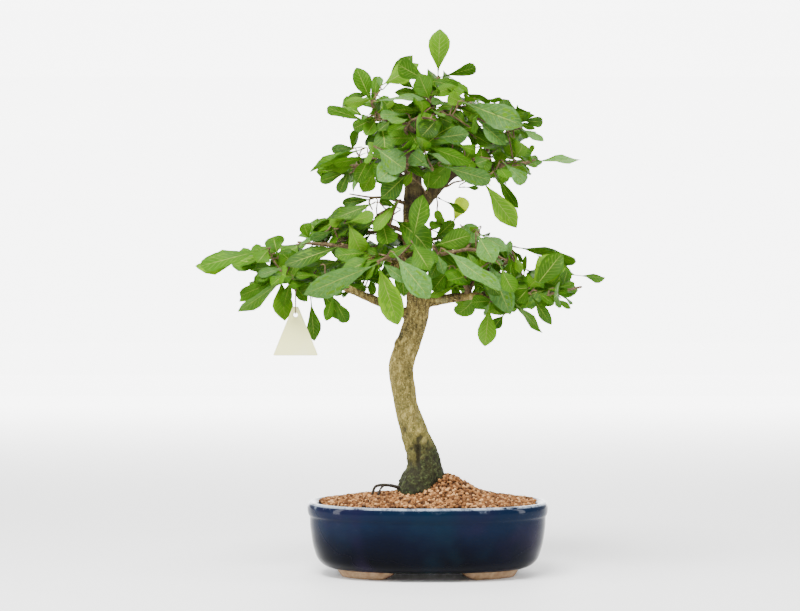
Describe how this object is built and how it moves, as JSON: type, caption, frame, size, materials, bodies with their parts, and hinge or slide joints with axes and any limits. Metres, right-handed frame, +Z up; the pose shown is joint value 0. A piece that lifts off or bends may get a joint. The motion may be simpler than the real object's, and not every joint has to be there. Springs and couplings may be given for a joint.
{
  "type": "persimmon bonsai",
  "caption": "Small-leaved persimmon bonsai with a curved trunk and tiered foliage, standing in granular soil in an oval glazed pot, with a blank hanging tag.",
  "frame": {"origin": "on the table, under the middle of the whole object's footprint", "axes": "+Z up the tree, +X to the right along the pot's length and -Y towards the viewer, as in the picture"},
  "size_m": [0.5248, 0.2832, 0.7015],
  "materials": {
    "glazed_clay": "gloss glaze, matt unglazed feet",
    "soil_grains": "matt, granular",
    "net": "matt",
    "bark": "rough bark, mossy at the foot",
    "leaf": "satin leaf with a pale midrib",
    "tag_plastic": "satin",
    "tie_wire": "matt coated wire"
  },
  "bodies": {
    "root": {"pot": "glazed_clay", "soil": "soil_grains", "screen_left": "net", "screen_right": "net", "trunk_and_limbs": "bark", "spray_apex": "leaf", "spray_back_left": "leaf", "spray_back_low": "leaf", "spray_front_low": "leaf", "spray_high_back": "leaf", "spray_high_front": "leaf", "spray_high_left_back": "leaf", "spray_high_left_end": "leaf", "spray_high_right_back": "leaf", "spray_high_right_end": "leaf", "spray_high_right_front": "leaf", "spray_high_right_rise": "leaf", "spray_low_left_back": "leaf", "spray_low_left_end": "leaf", "spray_low_left_front": "leaf", "spray_low_right_back": "leaf", "spray_low_right_end": "leaf", "spray_low_right_front": "leaf", "spray_low_right_rise": "leaf", "spray_middle_left_back": "leaf", "spray_middle_left_end": "leaf", "spray_middle_left_rise": "leaf", "spray_middle_right": "leaf", "spray_middle_right_back": "leaf", "spray_top_back": "leaf", "spray_top_front": "leaf", "spray_top_left": "leaf", "spray_top_right": "leaf", "spray_top_right_back": "leaf", "tag": "tag_plastic", "tag_tie": "tie_wire"}
  },
  "joints": []
}
